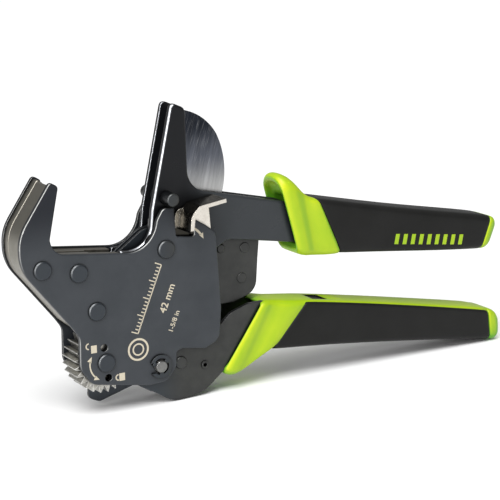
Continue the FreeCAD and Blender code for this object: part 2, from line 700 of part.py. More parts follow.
def channel_socket(body, start_x):
    """The slot in the grip that takes the end of the lower handle's channel."""
    points = [(start_x, -27.0), (44.0, -27.0), (44.0, -27.35), (72.1, -33.35), (72.1, -46.9), (49.0, -46.2),
              (43.0, -47.5), (start_x, -58.0)] if start_x < 40 else [
              (start_x, -27.35), (72.1, -33.35), (72.1, -46.9), (start_x, -46.3)]
    pocket(body, "channel_socket", outline(points), [], "-Dims.channel_half - Dims.run_fit",
           "2 * (Dims.channel_half + Dims.run_fit)")


def lower_pins():
    wall = dim("channel_half")
    shank = dim("pin_radius") - dim("rest_fit")
    waist = dim("pin_radius") - 0.5
    inner = wall - dim("channel_wall")
    turned("drive_pawl_pin", DRIVE_AT, [
        (0, -wall - 0.7), (shank - 0.3, -wall - 0.7), (shank, -wall - 0.4), (shank, -inner), (waist, -inner),
        (waist, inner), (shank, inner), (shank, wall), (0, wall)])
    roll = dim("pin_radius") - 0.9 - dim("rest_fit")
    end = wall + 0.5
    turned("roll_pin", ROLL_AT, [(roll - 0.75, -end), (roll, -end), (roll, end), (roll - 0.75, end)])
    gathered("handle_return_spring", [coil(HANDLE_AT, 3.9, 1.1, 5.5, 1.3, -3.6)])


frame_plates()
hook_spacers()
frame_pins()
e_clips()
gathered("blade_return_spring", [wire_loop((0, 0), 6.0, 0.8, 5.0, 6.25)])
upper_grip()
blade()
sector_parts()
pawls()
release_lever()
lock_wheel()
lower_handle_channel()
lower_grip()
lower_pins()

doc.recompute()
for item in doc.Objects:
    if "Invalid" in item.State or "Error" in item.State:
        raise RuntimeError(f"{item.Label} failed: {item.State}")
os.makedirs("parts", exist_ok=True)
for item in parts:
    shape = item.Shape
    if shape.isNull() or not shape.isValid() or shape.Volume < 0.05:
        raise RuntimeError(f"{item.Label} has no valid shape")
for item in parts:
    item.Shape.exportStep(f"parts/{item.Label}.step")
    print(f"{item.Label:26s} {item.Shape.Volume:10.1f} mm3  {len(item.Shape.Solids)} solid(s)")
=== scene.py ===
import json
import math

import bmesh
import bpy
from mathutils import Matrix, Vector


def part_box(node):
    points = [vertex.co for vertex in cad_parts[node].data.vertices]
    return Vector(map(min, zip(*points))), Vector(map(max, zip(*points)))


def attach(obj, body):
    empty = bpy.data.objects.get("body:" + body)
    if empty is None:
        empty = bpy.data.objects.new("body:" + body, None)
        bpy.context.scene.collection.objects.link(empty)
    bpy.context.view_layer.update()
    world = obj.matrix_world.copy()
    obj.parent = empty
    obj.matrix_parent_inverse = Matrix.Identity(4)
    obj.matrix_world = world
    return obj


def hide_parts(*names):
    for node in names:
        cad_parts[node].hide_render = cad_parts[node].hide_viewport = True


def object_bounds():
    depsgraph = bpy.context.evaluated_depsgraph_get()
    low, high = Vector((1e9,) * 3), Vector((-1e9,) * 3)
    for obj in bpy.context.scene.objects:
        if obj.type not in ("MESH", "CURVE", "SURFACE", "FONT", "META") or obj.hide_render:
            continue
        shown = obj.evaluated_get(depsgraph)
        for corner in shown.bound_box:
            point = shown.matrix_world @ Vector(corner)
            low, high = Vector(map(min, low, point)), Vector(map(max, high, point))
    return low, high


# A ratcheting cutter for plastic pipe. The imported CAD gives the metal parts. The soft grips are
# lofted here, the printed marks are laid on the front plate, and every surface gets its finish.
# Lengths are in millimetres and angles in degrees. Places are X and Z from the blade pivot, with
# Y across the tool and the printed side towards -Y.

MM = 0.001

# Printed marks.
TEXT_TURN = 67
SCALE_START = (-13.2, -31.6)
SCALE_LENGTH = 28.0
SCALE_TICKS = 20
ICON_AT = (-13.3, -37.9)
WHEEL_AT = (-27.0, -41.0)
RELEASE_ARC_AT = (6.5, -2.5)
GRIP_FACE_Y = -8.66

# Directions in the tool's own axes: edges facing the first get a painted highlight; the soft grips
# get a painted sheen on faces towards the second and painted shade on faces towards the last two.
GLINT = (-0.75, -0.45, 0.5)
SHEEN_DIRECTION = (-0.58, -0.74, 0.34)
RIM_SHADE_DIRECTION = (-1.0, -0.1, -0.1)
SLOPE_SHADE_DIRECTION = (0.45, -0.89, 0.0)

# Linear colours. A pair is the dark and the light patches of one mottled surface.
PHOSPHATE = ((0.029, 0.034, 0.040), (0.039, 0.044, 0.051))
PHOSPHATE_NOSE = (0.005, 0.007, 0.012)
# Partly painted shade: the darker narrow sides, standing for the shadow in the seams as well as the bare
# edge.
PHOSPHATE_CUT_SHADE = (0.007, 0.008, 0.010)
# Painted highlight on edges that face GLINT.
PHOSPHATE_GLINT = (0.60, 0.60, 0.58)
ENAMEL_GUARD = (0.006, 0.0065, 0.008)
ENAMEL_ARM = (0.036, 0.040, 0.044)
# Partly painted shade: the darker narrow sides of the enamel.
ENAMEL_CUT_SHADE = (0.004, 0.004, 0.005)
ENAMEL_GLINT = (0.74, 0.76, 0.80)
OXIDE = ((0.028, 0.029, 0.028), (0.042, 0.043, 0.041))
OXIDE_HEAD = (0.030, 0.036, 0.043)
# Painted shade on flanks and narrow sides.
OXIDE_SHADED_FLANK = (0.008, 0.009, 0.010)
OXIDE_GLINT = (0.44, 0.44, 0.43)
NICKEL = ((0.60, 0.56, 0.50), (0.78, 0.74, 0.67))
# Painted shade on bent sides.
NICKEL_SHADED_SIDE = (0.20, 0.185, 0.155)
# Painted shade on the lever's base below its leg.
NICKEL_PAINTED_SHADE = (0.035, 0.033, 0.028)
HOOK = ((0.22, 0.205, 0.175), (0.31, 0.29, 0.25))
# Painted shade on bent sides.
HOOK_SHADED_SIDE = (0.21, 0.20, 0.17)
TURNED = ((0.13, 0.13, 0.13), (0.26, 0.26, 0.25))
SPRING = ((0.16, 0.16, 0.17), (0.36, 0.36, 0.36))
ZINC = ((0.24, 0.23, 0.20), (0.52, 0.51, 0.47))
ZINC_TIP = (0.85, 0.85, 0.84)
# Painted reflection on the blade, from bright low down to near black at the far end.
BLADE_LOW_REFLECTION = (0.52, 0.52, 0.51)
BLADE_MID_REFLECTION = (0.110, 0.118, 0.14)
BLADE_FAR_REFLECTION = (0.018, 0.021, 0.028)
BLADE_SCRATCH = (0.75, 0.76, 0.78)
PRINT = ((0.46, 0.41, 0.31), (0.60, 0.54, 0.42))
FLOOR = ((0.93, 0.93, 0.93), (0.96, 0.96, 0.96))
# A soft grip's colours: dark and light patches, painted shade, and painted sheen.
GREENS = ((0.30, 0.47, 0.004), (0.37, 0.51, 0.006), (0.10, 0.34, 0.014), (0.53, 0.59, 0.008))
BLACKS = ((0.0055, 0.0055, 0.005), (0.0085, 0.0085, 0.008), (0.003, 0.003, 0.003), (0.012, 0.012, 0.011))

# Stage: places and sizes in metres, the roll in degrees and the lens in millimetres.
CAMERA_AT = Vector((-0.26721, -0.58348, 0.12676))
CAMERA_AIM = Vector((0.06637, 0.0, -0.02980))
CAMERA_ROLL = 1.094
LENS = 123.69
LIGHT_AIM = (0.05, 0.0, -0.02)
FLOOR_HALF = 6.0
FLOOR_GAP = 0.0002
SKY_STRENGTH = 0.38

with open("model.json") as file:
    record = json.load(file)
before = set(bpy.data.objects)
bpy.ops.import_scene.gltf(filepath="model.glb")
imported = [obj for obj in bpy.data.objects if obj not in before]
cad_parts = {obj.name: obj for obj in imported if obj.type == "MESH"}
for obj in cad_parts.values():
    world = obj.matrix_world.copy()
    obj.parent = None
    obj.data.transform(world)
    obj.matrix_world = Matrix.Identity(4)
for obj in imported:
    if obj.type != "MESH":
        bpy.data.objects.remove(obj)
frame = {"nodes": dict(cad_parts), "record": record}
cad_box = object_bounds()
PLATE_FACE_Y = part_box("front_side_plate")[0][1] / MM


def joint_at(name):
    joints = frame["record"]["behaviour"]["joints"]
    return next(Vector(joint["pos_m"]) for joint in joints if joint["name"] == name)


PIVOT = joint_at("blade_swing")


def at(x, y, z):
    """A point in metres from millimetres about the blade pivot."""
    return PIVOT + Vector((x, y, z)) * MM


def link(thing):
    bpy.context.scene.collection.objects.link(thing)


# ---------------------------------------------------------------- node helpers

def add(tree, kind, inputs=None, **settings):
    """Add a shader node, set its properties and fill or link its inputs."""
    node = tree.nodes.new(kind)
    for name, value in settings.items():
        setattr(node, name, value)
    for name, value in (inputs or {}).items():
        if isinstance(value, bpy.types.NodeSocket):
            tree.links.new(value, node.inputs[name])
        else:
            node.inputs[name].default_value = value
    return node


def combine(tree, operation, first, second):
    return add(tree, "ShaderNodeMath", {0: first, 1: second}, operation=operation).outputs[0]


def object_coords(tree, stretch=(1, 1, 1), turn=(0, 0, 0)):
    """Texture coordinates in millimetres, so that noise scales read as grains per millimetre."""
    coords = add(tree, "ShaderNodeTexCoord").outputs["Object"]
    inputs = {"Vector": coords, "Rotation": turn}
    turned = add(tree, "ShaderNodeVectorRotate", inputs, rotation_type="EULER_XYZ").outputs[0]
    inputs = {0: turned, 1: Vector(stretch) / MM}
    return add(tree, "ShaderNodeVectorMath", inputs, operation="MULTIPLY").outputs[0]


def ramp_along(tree, axis, start, end):
    """Nought to one between two distances from the blade pivot, as the tool is drawn at rest."""
    coords = add(tree, "ShaderNodeTexCoord").outputs["Object"]
    spot = add(tree, "ShaderNodeSeparateXYZ", {"Vector": coords}).outputs[axis]
    origin = PIVOT["XYZ".index(axis)]
    inputs = {"Value": spot, "From Min": origin + start * MM, "From Max": origin + end * MM}
    return add(tree, "ShaderNodeMapRange", inputs, interpolation_type="SMOOTHSTEP").outputs[0]


def noise(tree, coords, scale, detail, rough=0.5):
    inputs = {"Vector": coords, "Scale": scale, "Detail": detail, "Roughness": rough}
    return add(tree, "ShaderNodeTexNoise", inputs).outputs["Fac"]


def spread(tree, value, low, high, from_low=0.3, from_high=0.7):
    """Map a mask to a range of numbers; left alone, it takes in the span that noise mostly fills."""
    inputs = {"Value": value, "From Min": from_low, "From Max": from_high, "To Min": low, "To Max": high}
    return add(tree, "ShaderNodeMapRange", inputs).outputs[0]


def scaled(tree, mask, low, high):
    """Map a mask that runs from nought to one to a range of numbers."""
    return spread(tree, mask, low, high, 0, 1)


def blend_colours(tree, factor, first, second):
    mix = add(tree, "ShaderNodeMix", data_type="RGBA")
    tree.links.new(factor, mix.inputs[0])
    for socket, value in ((mix.inputs[6], first), (mix.inputs[7], second)):
        if isinstance(value, bpy.types.NodeSocket):
            tree.links.new(value, socket)
        else:
            socket.default_value = (*value, 1.0)
    return mix.outputs[2]


def mottled(tree, cloud, pair):
    return blend_colours(tree, spread(tree, cloud, 0, 1), *pair)


def along_direction(tree, normal, direction):
    """How squarely a normal points in a fixed direction, from minus one to one."""
    inputs = {0: normal, 1: Vector(direction).normalized()}
    return add(tree, "ShaderNodeVectorMath", inputs, operation="DOT_PRODUCT").outputs["Value"]


def bevelled(tree, radius):
    """The surface normal, rounded over sharp edges."""
    return add(tree, "ShaderNodeBevel", {"Radius": radius * MM}, samples=6).outputs[0]


def edge_mask(tree, radius):
    """One along hard edges and nought on flats: bright tooth edges on the wheel, and edges for painted
    highlights.
    """
    hard = add(tree, "ShaderNodeNewGeometry").outputs["True Normal"]
    inputs = {0: bevelled(tree, radius), 1: hard}
    level = add(tree, "ShaderNodeVectorMath", inputs, operation="DOT_PRODUCT").outputs["Value"]
    return spread(tree, level, 1.0, 0.0, 0.86, 0.995)


def across_amount(tree):
    """How squarely a surface faces along Y, from nought to one."""
    normal = add(tree, "ShaderNodeTexCoord").outputs["Normal"]
    across = add(tree, "ShaderNodeSeparateXYZ", {"Vector": normal}).outputs["Y"]
    return add(tree, "ShaderNodeMath", {0: across}, operation="ABSOLUTE").outputs[0]


def glint_mask(tree, radius):
    """One on hard or rounded edges that face GLINT, where a painted highlight is laid."""
    level = across_amount(tree)
    rise = spread(tree, level, 0.0, 1.0, 0.12, 0.40)
    fall = spread(tree, level, 1.0, 0.0, 0.88, 0.985)
    rounded = combine(tree, "MULTIPLY", rise, fall)
    either = combine(tree, "MAXIMUM", rounded, edge_mask(tree, radius))
    facing_light = along_direction(tree, bevelled(tree, radius), GLINT)
    return combine(tree, "MULTIPLY", either, spread(tree, facing_light, 0.0, 1.0, 0.62, 0.93))


def open_sky(tree, distance):
    """Ambient occlusion: low in gaps and one on open surfaces."""
    return add(tree, "ShaderNodeAmbientOcclusion", {"Distance": distance * MM}, samples=8).outputs["AO"]


def shaded_gaps(tree, colour, distance, dark=0.2, closed=0.30, clear=0.85):
    """Painted shade: darken a colour in gaps and around the feet of raised heads, as ambient occlusion
    finds them.
    """
    level = spread(tree, open_sky(tree, distance), dark, 1.0, closed, clear)
    return add(tree, "ShaderNodeHueSaturation", {"Value": level, "Color": colour}).outputs[0]


def cut_edge(tree):
    """One on the narrow sheared edges of a plate and nought on its faces."""
    return spread(tree, across_amount(tree), 1.0, 0.0, 0.10, 0.35)


def facing(tree, direction, low, high):
    """Nought to one as a surface turns towards a fixed direction of the object."""
    normal = add(tree, "ShaderNodeTexCoord").outputs["Normal"]
    return spread(tree, along_direction(tree, normal, direction), 0.0, 1.0, low, high)


def bumped(tree, height, strength, distance, bevel=0.0):
    inputs = {"Height": height, "Strength": strength, "Distance": distance * MM}
    if bevel:
        inputs["Normal"] = bevelled(tree, bevel)
    return add(tree, "ShaderNodeBump", inputs).outputs[0]


def new_material(name):
    material = bpy.data.materials.new(name)
    material.use_nodes = True
    tree = material.node_tree
    return material, tree, tree.nodes["Principled BSDF"]


def wire(tree, shader, **sockets):
    """Link or set Principled sockets by name, with spaces written as underscores."""
    for name, value in sockets.items():
        socket = shader.inputs[name.replace("_", " ")]
        if isinstance(value, bpy.types.NodeSocket):
            tree.links.new(value, socket)
        else:
            socket.default_value = value


# ---------------------------------------------------------------- materials

def coated_plate():
    """Blue-grey phosphate coat, matt and faintly mottled, near black up the hook; narrow sides darker,
    partly painted shade; painted shade in gaps; painted highlight on edges facing GLINT.
    """
    material, tree, shader = new_material("plate_coating")
    coords = object_coords(tree)
    cloud = noise(tree, coords, 0.09, 4, 0.6)
    grain = noise(tree, coords, 5.0, 2)
    # The edges that get a painted highlight.
    bright_edges = glint_mask(tree, 0.45)
    coat = mottled(tree, cloud, PHOSPHATE)
    coat = blend_colours(tree, ramp_along(tree, "Z", 2, 22), coat, PHOSPHATE_NOSE)
    # Partly painted shade: narrow sides darkened for the shadow in the seams as well as the bare edge.
    sheared = blend_colours(tree, cut_edge(tree), coat, PHOSPHATE_CUT_SHADE)
    shade = shaded_gaps(tree, sheared, 2.6, dark=0.1, closed=0.45, clear=0.88)
    # Painted highlight: lighter, more metallic colour on edges that face GLINT.
    colour = blend_colours(tree, scaled(tree, bright_edges, 0, 0.62), shade, PHOSPHATE_GLINT)
    wire(tree, shader, Base_Color=colour, Metallic=scaled(tree, bright_edges, 0.3, 0.9),
         Roughness=spread(tree, grain, 0.38, 0.48), Normal=bumped(tree, grain, 0.20, 0.03, 0.3))
    return material


def gloss_enamel():
    """Enamel, deep black over the blade guard and greyer along the handle arm; narrow sides darker, partly
    painted shade; painted shade in gaps; painted highlight on edges facing GLINT.
    """
    material, tree, shader = new_material("guard_enamel")
    coords = object_coords(tree)
    peel = noise(tree, coords, 0.7, 2)
    smear = noise(tree, coords, 0.12, 4)
    bright_edges = glint_mask(tree, 0.7)
    coat = blend_colours(tree, ramp_along(tree, "X", 10, 24), ENAMEL_GUARD, ENAMEL_ARM)
    # Partly painted shade: narrow sides darkened.
    sheared = blend_colours(tree, cut_edge(tree), coat, ENAMEL_CUT_SHADE)
    shade = shaded_gaps(tree, sheared, 3.0)
    # Painted highlight: near-white, metallic colour on edges that face GLINT.
    colour = blend_colours(tree, scaled(tree, bright_edges, 0, 0.95), shade, ENAMEL_GLINT)
    wire(tree, shader, Base_Color=colour, Metallic=scaled(tree, bright_edges, 0.2, 0.9),
         Roughness=spread(tree, smear, 0.26, 0.40), Normal=bumped(tree, peel, 0.12, 0.03, 0.7),
         Specular_IOR_Level=0.25)
    return material


def black_oxide():
    """Satin black oxide: bluish on the frame's rivet heads, neutral on the lower handle; painted shade on
    flanks, narrow sides and in gaps; faint painted highlight on edges facing GLINT.
    """
    material, tree, shader = new_material("black_oxide")
    coords = object_coords(tree)
    cloud = noise(tree, coords, 0.16, 4, 0.6)
    grain = noise(tree, coords, 7.0, 2)
    bright_edges = glint_mask(tree, 0.4)
    oxide = blend_colours(tree, ramp_along(tree, "X", -6, 8), OXIDE_HEAD, mottled(tree, cloud, OXIDE))
    # Painted shade: flanks and narrow sides darkened.
    shaded_flank = blend_colours(tree, cut_edge(tree), oxide, OXIDE_SHADED_FLANK)
    shade = shaded_gaps(tree, shaded_flank, 2.5)
    # Faint painted highlight on edges that face GLINT.
    colour = blend_colours(tree, scaled(tree, bright_edges, 0, 0.16), shade, OXIDE_GLINT)
    wire(tree, shader, Base_Color=colour, Metallic=0.5,
         Roughness=spread(tree, grain, 0.28, 0.38), Normal=bumped(tree, grain, 0.16, 0.02, 0.35))
    return material


def plated(name, pair, side, rough_low, rough_high, shade_corner=None):
    """Plated steel with polishing lines; painted shade on bent sides, in gaps, and left of and below a
    corner.
    """
    material, tree, shader = new_material(name)
    lines = noise(tree, object_coords(tree, (0.15, 3.0, 0.15)), 2.0, 3)
    cloud = noise(tree, object_coords(tree), 0.3, 4, 0.65)
    # Painted shade: faces that turn away from Y take the darker side colour.
    metal = blend_colours(tree, spread(tree, across_amount(tree), 0, 1, 0.25, 0.75), side,
                          mottled(tree, cloud, pair))
    # Painted shade left of and below the corner, on the lever's base below its leg.
    if shade_corner:
        right = ramp_along(tree, "X", shade_corner[0] - 2, shade_corner[0])
        above = ramp_along(tree, "Z", shade_corner[1] - 0.6, shade_corner[1])
        metal = blend_colours(tree, combine(tree, "MAXIMUM", right, above), NICKEL_PAINTED_SHADE, metal)
    wire(tree, shader, Base_Color=shaded_gaps(tree, metal, 1.6), Metallic=1.0,
         Roughness=spread(tree, cloud, rough_low, rough_high),
         Normal=bumped(tree, lines, 0.12, 0.02, 0.3))
    return material


def machined_steel():
    """Turned pins and pawls with fine rings."""
    material, tree, shader = new_material("machined_steel")
    lines = noise(tree, object_coords(tree, (1, 0.1, 1)), 4.0, 2)
    cloud = noise(tree, object_coords(tree), 0.5, 3)
    wire(tree, shader, Base_Color=blend_colours(tree, cloud, *TURNED), Metallic=1.0,
         Roughness=spread(tree, cloud, 0.25, 0.40), Normal=bumped(tree, lines, 0.15, 0.02, 0.3))
    return material


def spring_wire():
    """Drawn wire, patchily dull."""
    material, tree, shader = new_material("spring_steel")
    cloud = noise(tree, object_coords(tree), 1.5, 3)
    wire(tree, shader, Base_Color=blend_colours(tree, cloud, *SPRING), Metallic=1.0,
         Roughness=spread(tree, cloud, 0.25, 0.4), Normal=bumped(tree, cloud, 0.1, 0.02, 0.15))
    return material


def wheel_steel():
    """Zinc-plated thumb wheel: bright tooth edges over brown-grey roots."""
    material, tree, shader = new_material("wheel_steel")
    cloud = noise(tree, object_coords(tree), 0.8, 4, 0.6)
    bright_edges = edge_mask(tree, 0.5)
    colour = blend_colours(tree, scaled(tree, bright_edges, 0, 0.7), mottled(tree, cloud, ZINC), ZINC_TIP)
    wire(tree, shader, Base_Color=shaded_gaps(tree, colour, 1.5), Metallic=0.9,
         Roughness=spread(tree, cloud, 0.26, 0.42), Normal=bumped(tree, cloud, 0.12, 0.03, 0.25))
    return material


def blade_steel():
    """Ground steel with fine scratches; its colour is a painted reflection, bright low on the open blade
    and near black towards its far end.
    """
    material, tree, shader = new_material("blade_steel")
    along = object_coords(tree, (1.0, 0.0, 0.05), (0, math.radians(-12), 0))
    brushed = noise(tree, along, 5.0, 4, 0.7)
    broad = noise(tree, along, 0.5, 3, 0.6)
    scratch_coords = object_coords(tree, (1.0, 0.0, 0.022), (0, math.radians(-18), 0))
    scratch = spread(tree, noise(tree, scratch_coords, 7.0, 0, 0.5), 0, 0.20, 0.60, 0.78)
    # Painted reflection: bright low on the blade, grey in the middle and near black towards the far end.
    low = blend_colours(tree, ramp_along(tree, "Z", 15, 34), BLADE_LOW_REFLECTION, BLADE_MID_REFLECTION)
    steel = blend_colours(tree, ramp_along(tree, "Z", 31, 47), low, BLADE_FAR_REFLECTION)
    inputs = {"Value": spread(tree, broad, 0.75, 1.25), "Color": steel}
    shade = add(tree, "ShaderNodeHueSaturation", inputs).outputs[0]
    wire(tree, shader, Base_Color=blend_colours(tree, scratch, shade, BLADE_SCRATCH), Metallic=1.0,
         Roughness=spread(tree, broad, 0.26, 0.40), Normal=bumped(tree, brushed, 0.20, 0.02))
    return material


def soft_grip(name, colours, roughness, speckle, specular):
    """Soft moulded elastomer with a fine erosion texture, painted shade in hollows and on faces turned to
    the rim and the falling slope, and painted sheen on faces turned up and left.
    """
    material, tree, shader = new_material(name)
    dark, light, shade_tint, sheen = colours
    coords = object_coords(tree)
    cloud = noise(tree, coords, 0.07, 3, 0.6)
    texture = noise(tree, coords, speckle, 2, 0.6)
    # Painted sheen on faces turned towards the sheen direction.
    sheened = blend_colours(tree, facing(tree, SHEEN_DIRECTION, 0.80, 0.97), mottled(tree, cloud, (dark, light)), sheen)
    # Painted shade on faces turned towards the rim and the falling slope.
    turned = combine(tree, "MAXIMUM", facing(tree, RIM_SHADE_DIRECTION, 0.80, 0.97), facing(tree, SLOPE_SHADE_DIRECTION, 0.935, 0.99))
    rim = blend_colours(tree, scaled(tree, turned, 0.0, 0.6), sheened, shade_tint)
    # Painted shade in hollows, as ambient occlusion finds them.
    clear = spread(tree, open_sky(tree, 9), 0.0, 1.0, 0.45, 0.97)
    wire(tree, shader, Base_Color=blend_colours(tree, clear, shade_tint, rim),
         Roughness=spread(tree, texture, roughness - 0.05, roughness + 0.07),
         Specular_IOR_Level=specular, Normal=bumped(tree, texture, 0.25, 0.05, 0.4))
    return material


def printed_ink():
    """Pale pad-printed ink, slightly patchy."""
    material, tree, shader = new_material("printed_mark")
    patch = noise(tree, object_coords(tree), 3.0, 3)
    wire(tree, shader, Base_Color=blend_colours(tree, patch, *PRINT), Roughness=0.6)
    return material


def floor_finish():
    material, tree, shader = new_material("pale_floor")
    cloud = noise(tree, object_coords(tree), 0.02, 2)
    wire(tree, shader, Base_Color=blend_colours(tree, cloud, *FLOOR), Roughness=0.9)
    return material


MATERIALS = {
    "plate_coating": coated_plate(),
    "guard_enamel": gloss_enamel(),
    "black_oxide": black_oxide(),
    # Painted shade on the lever's base below its leg.
    "nickel_plate": plated("nickel_plate", NICKEL, NICKEL_SHADED_SIDE, 0.15, 0.28, shade_corner=(15.0, 7.8)),
    "hook_steel": plated("hook_steel", HOOK, HOOK_SHADED_SIDE, 0.34, 0.48),
    "machined_steel": machined_steel(),
    "wheel_steel": wheel_steel(),
    "spring_steel": spring_wire(),
    "blade_steel": blade_steel(),
    "green_grip": soft_grip("green_grip", GREENS, roughness=0.40, speckle=2.2, specular=0.40),
    "black_grip": soft_grip("black_grip", BLACKS, roughness=0.48, speckle=2.6, specular=0.22),
}
INK = printed_ink()


def finish_cad():
    """Give every CAD part the material of its slot."""
    for part in frame["record"]["subparts"]:
        node = frame["nodes"][part["node"]]
        node.data.materials.clear()
        node.data.materials.append(MATERIALS[part["material_slot"]])


# ---------------------------------------------------------------- lofted grips

def ring(height, half_width, top_radius, low_radius):
    """Rounded rectangle as (along, across) pairs from its top edge, one corner after another."""
    steps = 5
    corners = ((1, 1, top_radius), (-1, 1, low_radius), (-1, -1, low_radius), (1, -1, top_radius))
    points = []
    for corner, (sign_a, sign_b, radius) in enumerate(corners):
        start = 90 * corner
        centre_a, centre_b = sign_a * (height / 2 - radius), sign_b * (half_width - radius)
        for step in range(steps + 1):
            turn = math.radians(start + 90 * step / steps)
            points.append((centre_a + radius * math.cos(turn), centre_b + radius * math.sin(turn)))
    return points


def station_points(top, low, half_width, top_radius, low_radius, sweep=0.0):
    """One cross-section between two points of the side view; sweep moves its sides to +X."""
    top_at, low_at = Vector(top), Vector(low)
    middle = (top_at + low_at) / 2
    along = (top_at - low_at).normalized()
    points = []
    for a, b in ring((top_at - low_at).length, half_width, top_radius, low_radius):
        spot = middle + along * a
        points.append(at(spot.x + sweep * (b / half_width) ** 2, b, spot.y))
    return points


def loft(name, stations, material):
    """A closed skin through cross-sections, rounded by subdivision."""
    mesh = bmesh.new()
    rings = [[mesh.verts.new(point) for point in station_points(*station)] for station in stations]
    count = len(rings[0])
    for first, second in zip(rings, rings[1:]):
        for index in range(count):
            after = (index + 1) % count
            mesh.faces.new((first[index], first[after], second[after], second[index]))
    mesh.faces.new(list(reversed(rings[0])))
    mesh.faces.new(rings[-1])
    bmesh.ops.recalc_face_normals(mesh, faces=mesh.faces)
    piece = add_piece(name, mesh, material)
    subdivision = piece.modifiers.new("subdivision", "SUBSURF")
    subdivision.levels = 1
    subdivision.render_levels = 1
    return piece


def add_piece(name, mesh, material, smooth=True):
    data = bpy.data.meshes.new(name)
    mesh.to_mesh(data)
    mesh.free()
    for face in data.polygons:
        face.use_smooth = smooth
    piece = bpy.data.objects.new(name, data)
    link(piece)
    data.materials.append(material)
    return piece


def carve(piece, low, high, lining):
    """Cut a box-shaped pocket with lined walls out of a piece, after its rounding."""
    cutter = bmesh.new()
    stretch = Matrix.Diagonal((*(high - low), 1))
    bmesh.ops.create_cube(cutter, size=1.0, matrix=Matrix.Translation((low + high) / 2) @ stretch)
    box = add_piece("pocket", cutter, lining, smooth=False)
    cut = piece.modifiers.new("pocket", "BOOLEAN")
    cut.object = box
    cut.solver = "EXACT"
    cut.material_mode = "TRANSFER"
    shaped = evaluated_mesh(piece)
    piece.modifiers.clear()
    piece.data = shaped
    bpy.data.objects.remove(box)


def evaluated_mesh(thing):
    bpy.context.view_layer.update()
    return bpy.data.meshes.new_from_object(thing.evaluated_get(bpy.context.evaluated_depsgraph_get()))


def stand_for(piece, body, node):
    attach(piece, body)
    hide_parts(node)


# A station is a top point, a low point, a half width, a top corner radius, a low corner radius
# and, if its sides run ahead of its middle, a sweep.

def upper_grip():
    """Collar with a rolled finger rim, sleeve and end cap."""
    green, black = MATERIALS["green_grip"], MATERIALS["black_grip"]
    collar = loft("upper_collar", [
        ((66.0, 10.6), (70.0, -8.0), 6.0, 1.2, 1.0, 0.0),
        ((59.4, 12.6), (63.0, -6.8), 6.1, 1.2, 1.0, 0.0),
        ((57.0, 13.6), (61.8, -7.0), 6.2, 2.0, 1.2, 0.0),
        ((56.0, 16.6), (61.4, -7.8), 6.5, 4.4, 1.8, 0.0),
        ((54.4, 18.8), (60.6, -8.4), 6.8, 5.4, 2.2, 0.0),
        ((52.4, 19.6), (60.2, -8.8), 7.0, 5.8, 2.4, 0.0),
        ((51.8, 20.9), (60.2, -9.8), 7.7, 6.4, 2.7, 0.0),
        ((52.6, 22.4), (61.6, -10.9), 8.5, 7.2, 3.0, 0.0),
        ((54.5, 22.9), (63.6, -11.6), 8.9, 7.4, 3.2, 0.4),
        ((57.4, 21.8), (65.2, -11.8), 8.7, 6.8, 3.2, 0.8),
        ((60.2, 18.8), (66.8, -12.0), 8.1, 5.6, 2.8, 1.0),
        ((62.4, 15.6), (68.8, -12.2), 7.85, 4.6, 2.6, 1.2),
        ((64.4, 13.4), (72.0, -12.5), 8.3, 3.8, 2.4, 1.6),
        ((66.0, 12.4), (75.0, -12.6), 8.75, 3.2, 2.2, 2.0),
        ((67.2, 12.0), (78.0, -12.6), 8.75, 3.0, 2.0, 2.4),
        ((67.6, 11.6), (78.5, -12.1), 8.3, 2.8, 1.8, 2.4),
    ], green)
    stand_for(collar, "frame", "upper_grip_collar")
    sleeve = loft("upper_sleeve", [
        ((67.4, 11.5), (78.2, -12.0), 8.2, 2.8, 2.0, 2.4),
        ((67.5, 11.8), (78.3, -12.3), 8.6, 3.0, 2.2, 2.4),
        ((68.8, 11.6), (79.6, -12.6), 8.7, 3.0, 2.2, 2.4),
        ((88.0, 7.6), (95.0, -14.1), 8.7, 3.0, 2.2, 1.0),
        ((108.7, 3.2), (112.0, -16.0), 8.7, 3.0, 2.2),
        ((130.0, -0.9), (130.0, -18.1), 8.7, 3.0, 2.2),
        ((148.0, -4.2), (144.0, -19.5), 8.7, 3.0, 2.4),
        ((156.4, -6.0), (151.0, -20.2), 8.7, 3.0, 2.8),
        ((157.4, -6.3), (152.0, -20.2), 8.5, 2.9, 2.8),
        ((157.6, -6.6), (152.2, -19.9), 8.1, 2.8, 2.8),
    ], black)
    stand_for(sleeve, "frame", "upper_grip_sleeve")
    cap = loft("upper_end_cap", [
        ((157.2, -6.6), (151.8, -20.0), 8.2, 2.8, 2.8),
        ((157.5, -6.3), (152.1, -20.2), 8.6, 3.0, 3.0),
        ((158.8, -6.7), (153.6, -20.4), 8.65, 3.0, 3.0),
        ((160.4, -7.6), (155.4, -20.2), 8.2, 3.2, 3.2),
        ((161.2, -9.6), (157.0, -18.9), 7.0, 3.0, 3.0),
        ((161.3, -12.0), (158.6, -16.6), 4.8, 2.0, 2.0),
    ], green)
    stand_for(cap, "frame", "upper_grip_end_cap")


